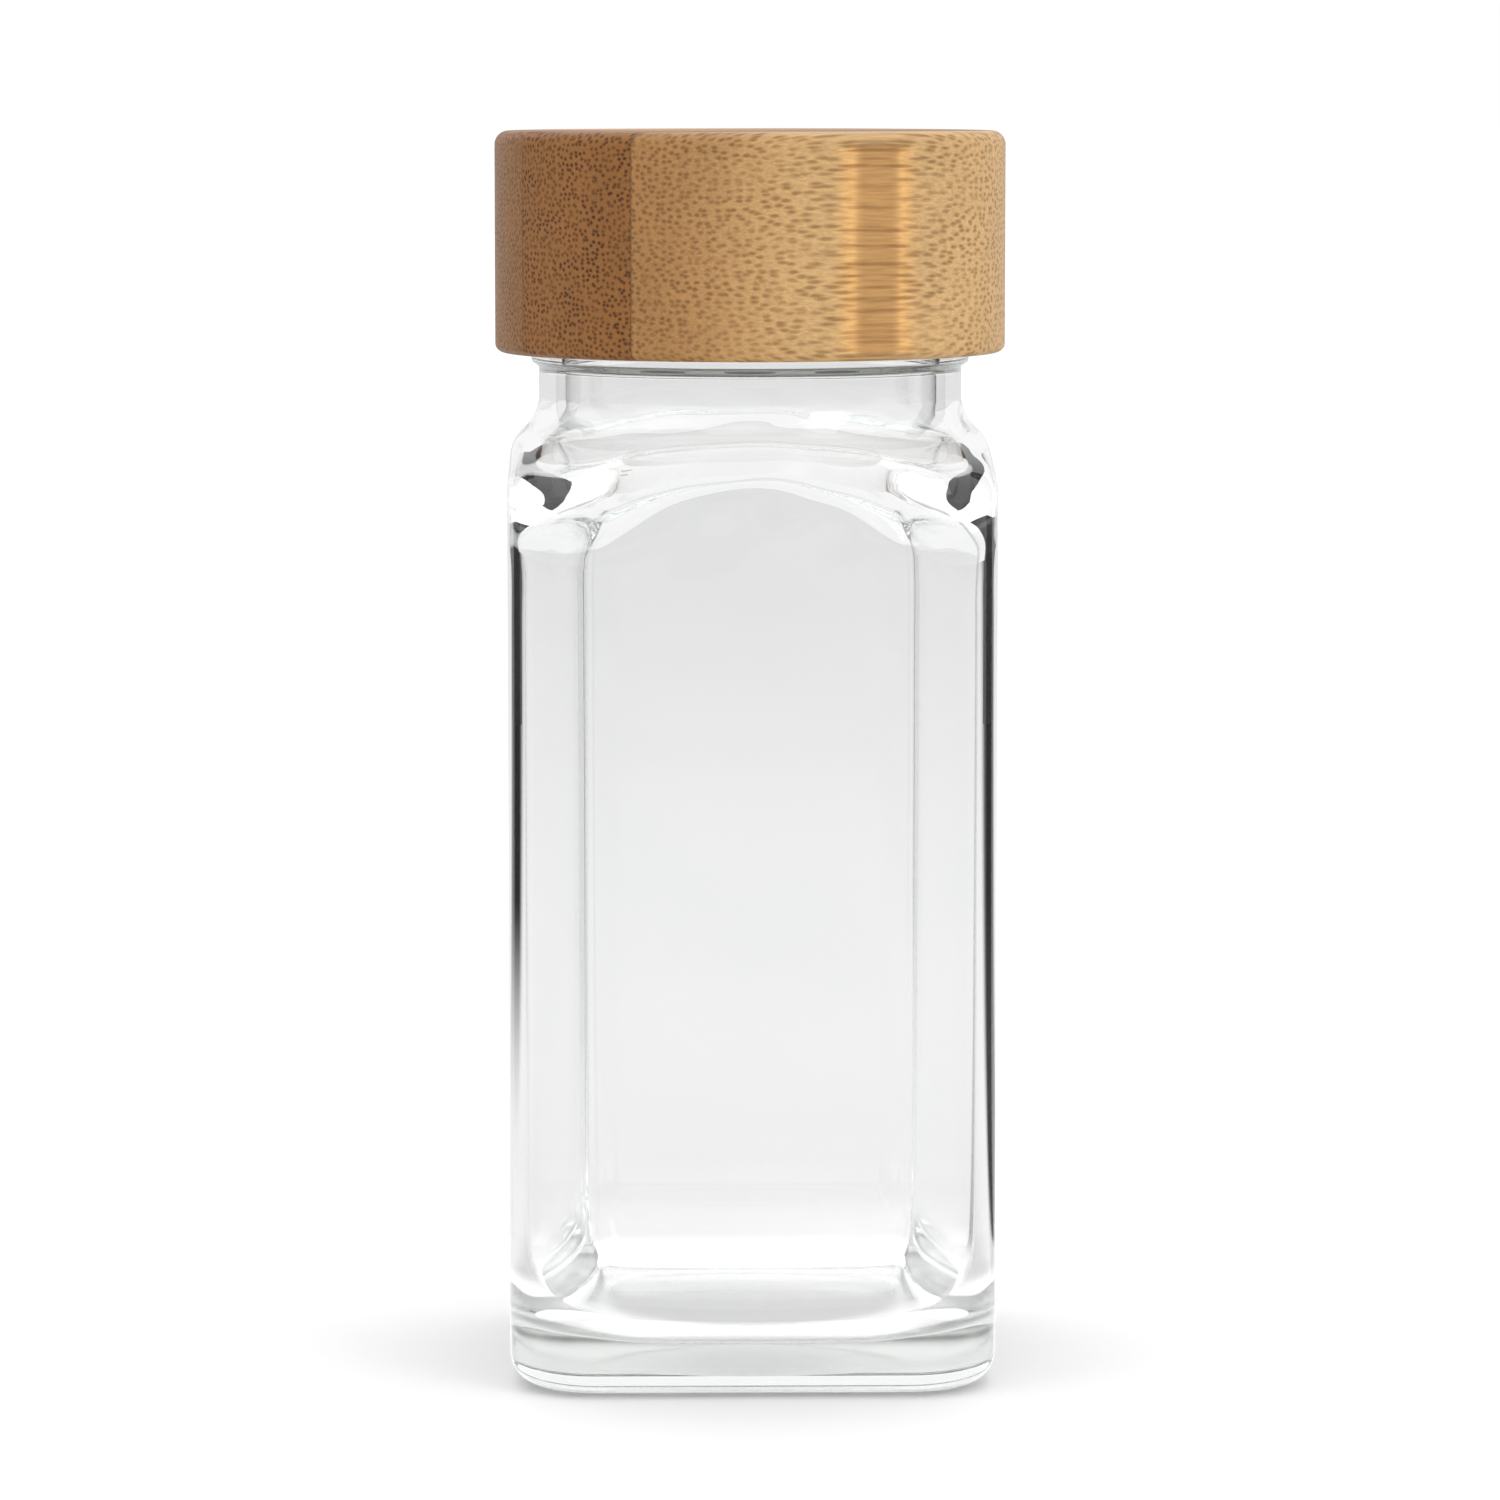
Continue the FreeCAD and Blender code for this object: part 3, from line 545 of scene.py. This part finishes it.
# Each moulded piece with its material, its two tones, its roughness and the height of its grain.
MOULDED = (
    ("threaded_liner", "liner_plastic", (242, 241, 236), (236, 235, 229), 0.42, 0.03 * MM),
    ("seal_disc", "seal_rubber", (236, 236, 230), (229, 229, 222), 0.62, 0.04 * MM),
    ("shaker_insert", "shaker_plastic", (243, 243, 239), (237, 237, 231), 0.3, 0.02 * MM),
)
for piece, *look in MOULDED:
    give(nodes[piece], plastic(*look))

# The studio: a pale floor and soft light all round. Distances on the paper are from the jar's axis.
FLOOR_HALF = 12.0
FLOOR_LEVEL = -0.2 * MM
UNDER_LEVEL = -0.1 * MM
UNDER_TO_NEAR_MM = (25.0, 90.0)
NEAR_TO_FAR_MM = (90.0, 900.0)
RIGHT_STRIP_START_MM = (40.0, 80.0)
STRIP_START_MM = (120.0, 360.0)
GLOW_TO_RING_MM = (13.5, 19.0)
GLOW_END_MM = (22.0, 42.0)
STRIP_INNER_EDGE = (radians(46.0), radians(51.0))
STRIP_OUTER_EDGE = (radians(68.0), radians(62.0))
FRONT_EDGE = (radians(70.0), radians(95.0))
PLAIN_PAPER = dict(under_jar=0.9, near=0.9, far=0.9, glow=0.0, glow_ring=0.0, strips=0.0, front=1.0)
# The paper the glass sees holds painted shade and painted light: it greys away from the jar and in front of
# it, has dark strips behind it, and glows under it.
PAINTED_SHADE_PAPER = dict(under_jar=0.88, near=0.7, far=0.64, glow=0.42, glow_ring=0.85, strips=0.97, front=0.75)


def flat_card(name, middle, across, up):
    """A rectangle with its middle, half width and half height given as vectors."""
    middle, across, up = Vector(middle), Vector(across), Vector(up)
    corners = [middle - across - up, middle + across - up, middle + across + up, middle - across + up]
    return new_mesh(name, [tuple(c) for c in corners], [(0, 1, 2, 3)])


def floor_sheet(name, level):
    return flat_card(name, (0.0, 0.0, level), (FLOOR_HALF, 0.0, 0.0), (0.0, FLOOR_HALF, 0.0))


def floor_paper(name, under_jar, near, far, glow, glow_ring, strips, front):
    """Pale paper, with painted shade in its tones under the jar, near it and far from it.

    glow and glow_ring are painted light, the paper's glow under the jar's middle and foot, strips is how
    dark the two painted dark strips are that lie on it behind the jar, and front is the share of its grey
    that is left in front, painted shade there.
    """
    tree = paint(name)
    where = tree.place()
    away = tree.node("ShaderNodeVectorMath", {0: where}, operation="LENGTH").outputs["Value"]
    # Painted shade: the paper darkens from under the jar out to near it, and more far from it.
    level = tree.ramp(away, *UNDER_TO_NEAR_MM, under_jar, near)
    level = tree.math("ADD", level, tree.ramp(away, *NEAR_TO_FAR_MM, 0.0, far - near))
    uneven = tree.noise(where, scale=0.004, detail=3.0)
    level = tree.math("ADD", level, tree.ramp(uneven, *NOISE_SPAN, out_low=-0.01, out_high=0.01))
    x, y, _ = tree.parts(where)
    turn = tree.math("ABSOLUTE", tree.math("ARCTAN2", x, y))
    # Painted shade: two dark strips behind the jar, which darken the glass's edges.
    strip = tree.math("MULTIPLY", tree.ramp(turn, *STRIP_INNER_EDGE), tree.ramp(turn, *STRIP_OUTER_EDGE))
    on_right = tree.math("GREATER_THAN", x, 0.0)
    starts = tree.math("MULTIPLY", on_right, tree.ramp(away, *RIGHT_STRIP_START_MM))
    starts = tree.math("MAXIMUM", starts, tree.ramp(away, *STRIP_START_MM))
    strip = tree.math("MULTIPLY", tree.math("MULTIPLY", strip, starts), strips)
    level = tree.math("MULTIPLY", level, tree.math("SUBTRACT", 1.0, strip))
    # Painted shade in front of the jar.
    level = tree.math("MULTIPLY", level, tree.ramp(turn, *FRONT_EDGE, 1.0, front))
    # Painted light: the paper glows under the jar's middle and its foot.
    shine = tree.ramp(away, *GLOW_TO_RING_MM, glow, glow_ring)
    tree.fill(tree.shader, {
        "Base Color": tree.node("ShaderNodeCombineColor", {0: level, 1: level, 2: level}).outputs[0],
        "Roughness": 0.9,
        "Specular IOR Level": 0.0,
        "Emission Color": WHITE,
        "Emission Strength": tree.math("MULTIPLY", shine, tree.ramp(away, *GLOW_END_MM, 1.0, 0.0)),
    })
    return tree.owner


def show_to_glass_only(obj):
    """Hides a thing from the camera and from matt faces, without a shadow: glass and gloss see it."""
    obj.visible_camera = False
    obj.visible_diffuse = False
    obj.visible_shadow = False


floor = floor_sheet("floor", FLOOR_LEVEL)
give(floor, floor_paper("floor_paper", **PLAIN_PAPER))
floor.visible_transmission = False
floor.visible_glossy = False

# Through the glass the paper has painted shade: it is a little greyer, as the photograph shows inside its
# cut-out edge, it has painted dark strips, as a studio's dark cards would give the glass its edges, and it
# has a painted glow under the jar.
under = floor_sheet("floor_through_glass", UNDER_LEVEL)
give(under, floor_paper("floor_painted_shade", **PAINTED_SHADE_PAPER))
show_to_glass_only(under)

# Two tall dark cards stand behind the jar, one on each side, and darken the glass's upright edges.
CARD_TURN = radians(57.0)
CARD_AWAY = 0.6
CARD_HALF = 0.082
CARD_HALF_HEIGHT = 0.28
CARD_LOOK = ((30, 30, 30), (38, 38, 38), 0.8, 0.02 * MM)
for side, name in ((-1, "dark_card_left"), (1, "dark_card_right")):
    middle = (side * sin(CARD_TURN) * CARD_AWAY, cos(CARD_TURN) * CARD_AWAY, CARD_HALF_HEIGHT)
    across = (cos(CARD_TURN) * CARD_HALF, -side * sin(CARD_TURN) * CARD_HALF, 0.0)
    card = flat_card(name, middle, across, (0.0, 0.0, CARD_HALF_HEIGHT))
    give(card, plastic(name, *CARD_LOOK))
    show_to_glass_only(card)

# Three soft lamps look at the jar's middle.
JAR_MIDDLE_LEVEL = 0.06


def turn_toward(obj, aim):
    """Turns a lamp or a camera so that it looks at a place."""
    obj.rotation_euler = (Vector(aim) - obj.location).to_track_quat("-Z", "Y").to_euler()


def soft_light(name, place, width, height, power):
    """A rectangular lamp that looks at the jar's middle and that the camera doesn't see."""
    data = bpy.data.lights.new(name, "AREA")
    data.shape = "RECTANGLE"
    data.size = width
    data.size_y = height
    data.energy = power
    lamp = bpy.data.objects.new(name, data)
    lamp.location = place
    turn_toward(lamp, (0.0, 0.0, JAR_MIDDLE_LEVEL))
    bpy.context.scene.collection.objects.link(lamp)
    lamp.visible_camera = False


soft_light("key_right", (0.75, -0.75, 0.7), width=0.5, height=0.7, power=2.0)
soft_light("fill_left", (-0.8, -0.6, 0.6), width=0.5, height=0.7, power=0.3)
soft_light("top", (0.0, 0.25, 1.2), width=1.2, height=1.2, power=1.5)

# The room lights from all sides, more from above, and the camera sees it plain white.
SEEN_STRENGTH = 1.0
room = Tree(bpy.data.worlds.new("soft_room"), "Background")
bpy.context.scene.world = room.owner
_, toward_back, toward_top = room.parts(room.node("ShaderNodeTexCoord", {}).outputs["Generated"])
sides = room.ramp(toward_back, -0.6, 0.6, out_low=0.9, out_high=0.95)
overhead = room.ramp(toward_top, 0.3, 0.95, out_low=0.0, out_high=0.45)
bright = room.math("ADD", sides, overhead)
by_camera = room.node("ShaderNodeLightPath", {}).outputs["Is Camera Ray"]
shown = room.node("ShaderNodeMix", {0: by_camera, 2: bright, 3: SEEN_STRENGTH}).outputs[0]
room.fill(room.shader, {"Color": WHITE, "Strength": shown})

# The camera stands a little above the lid, a little to the left of the front face's middle.
CAMERA_TURN = radians(-1.0)
CAMERA_AWAY = 0.59
CAMERA_HEIGHT = 0.122
AIM_HEIGHT = 0.0578
lens = bpy.data.cameras.new("camera")
lens.sensor_width = 36.0
lens.lens = 150.0
lens.clip_start = 0.01
lens.clip_end = 100.0
camera = bpy.data.objects.new("camera", lens)
camera.location = (sin(CAMERA_TURN) * CAMERA_AWAY, -cos(CAMERA_TURN) * CAMERA_AWAY, CAMERA_HEIGHT)
turn_toward(camera, (0.0, 0.0, AIM_HEIGHT))
bpy.context.scene.collection.objects.link(camera)
bpy.context.scene.camera = camera
bpy.context.scene.view_settings.view_transform = "Standard"

# Light passes many faces of glass before it leaves the jar.
BOUNCES = 48
bpy.context.scene.cycles.max_bounces = BOUNCES
bpy.context.scene.cycles.transmission_bounces = BOUNCES
bpy.context.scene.cycles.glossy_bounces = BOUNCES
